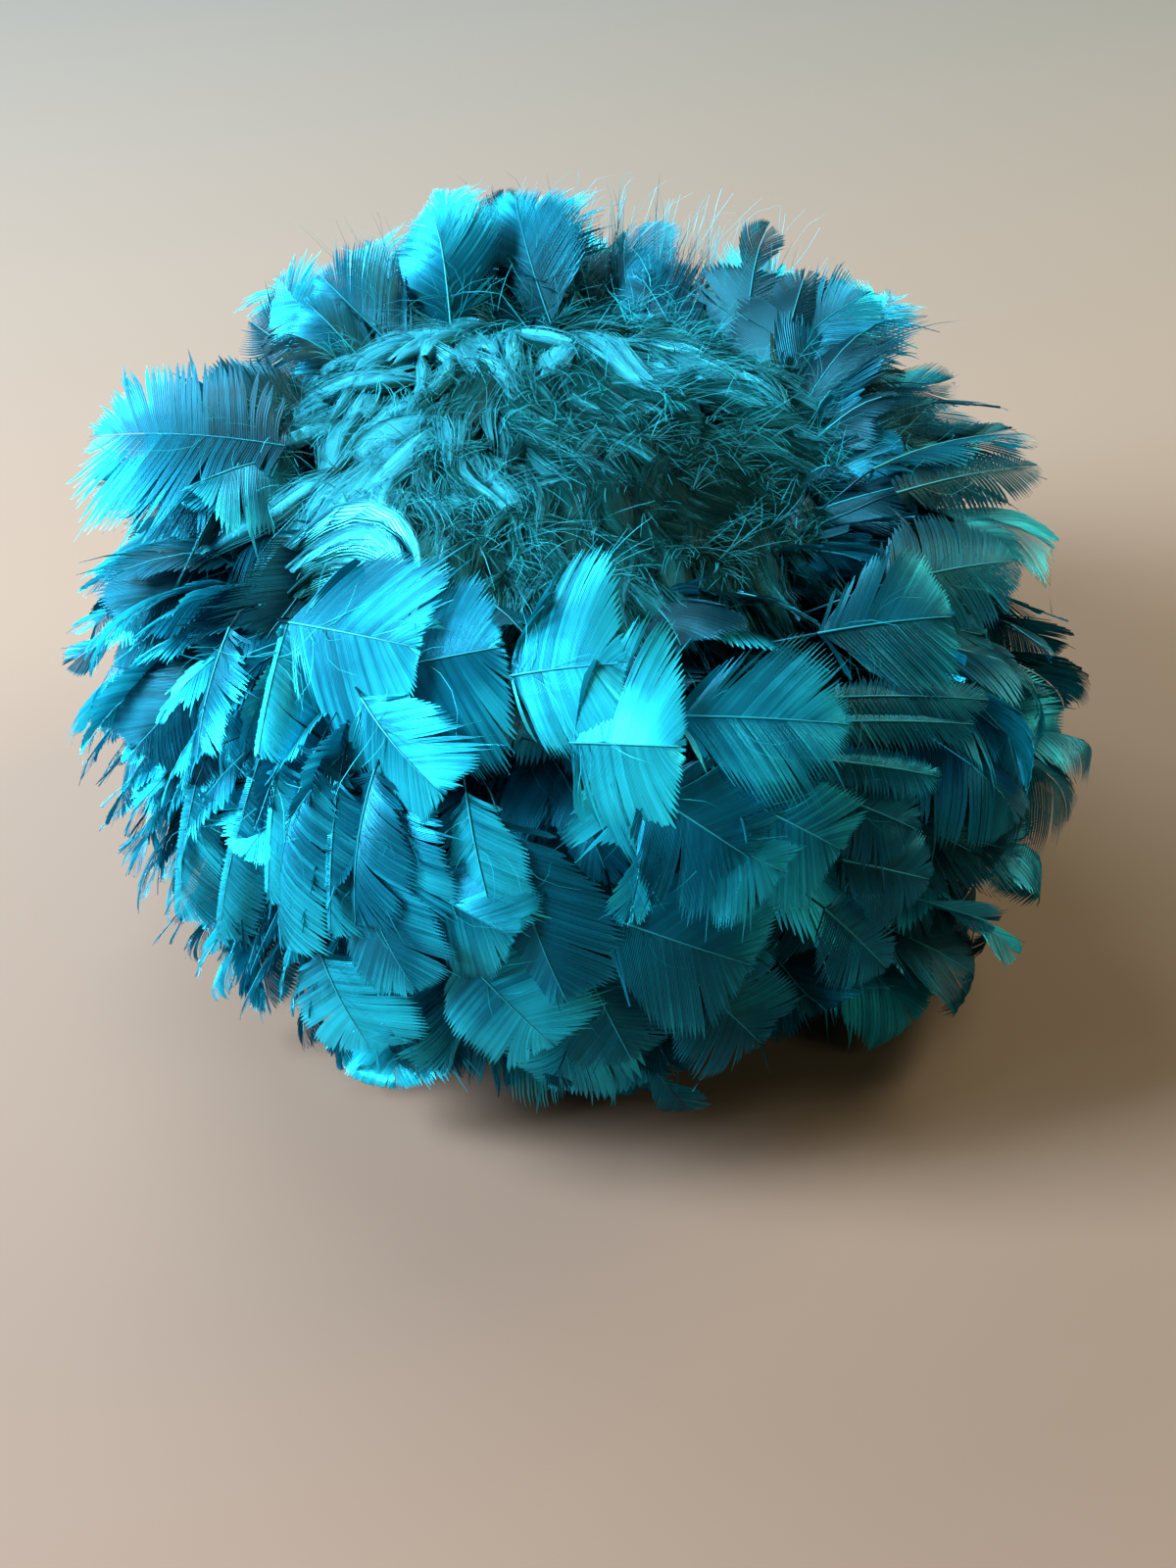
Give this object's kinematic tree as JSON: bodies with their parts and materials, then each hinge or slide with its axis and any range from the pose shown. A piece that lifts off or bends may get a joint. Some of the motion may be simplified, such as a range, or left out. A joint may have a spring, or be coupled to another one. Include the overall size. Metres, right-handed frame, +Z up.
{
  "type": "feather cloche hat",
  "caption": "Close-fitting round hat: a hollow felt cap covered in tiers of broad curved feathers, with a whorl of soft feathers on the crown.",
  "frame": {"origin": "on the floor under the middle of the hat, which rests on the rim of its cap", "axes": "+Z up through the crown, +Y towards the wearer's face, +X to the wearer's right"},
  "size_m": [0.335, 0.3505, 0.1867],
  "materials": {
    "felt": "matte wool felt, dark teal",
    "vane": "dyed feather vanes with a satin sheen, turquoise to teal",
    "down": "soft dyed hackle barbs, dull teal"
  },
  "bodies": {
    "root": {"cap": "felt", "feather_row_1": "vane", "feather_row_2": "vane", "feather_row_3": "vane", "feather_row_4": "vane", "feather_row_5": "vane", "feather_row_6": "vane", "feather_row_7": "vane", "feather_row_8": "vane", "feather_collar": "vane", "crown_feathers": "down"}
  },
  "joints": []
}
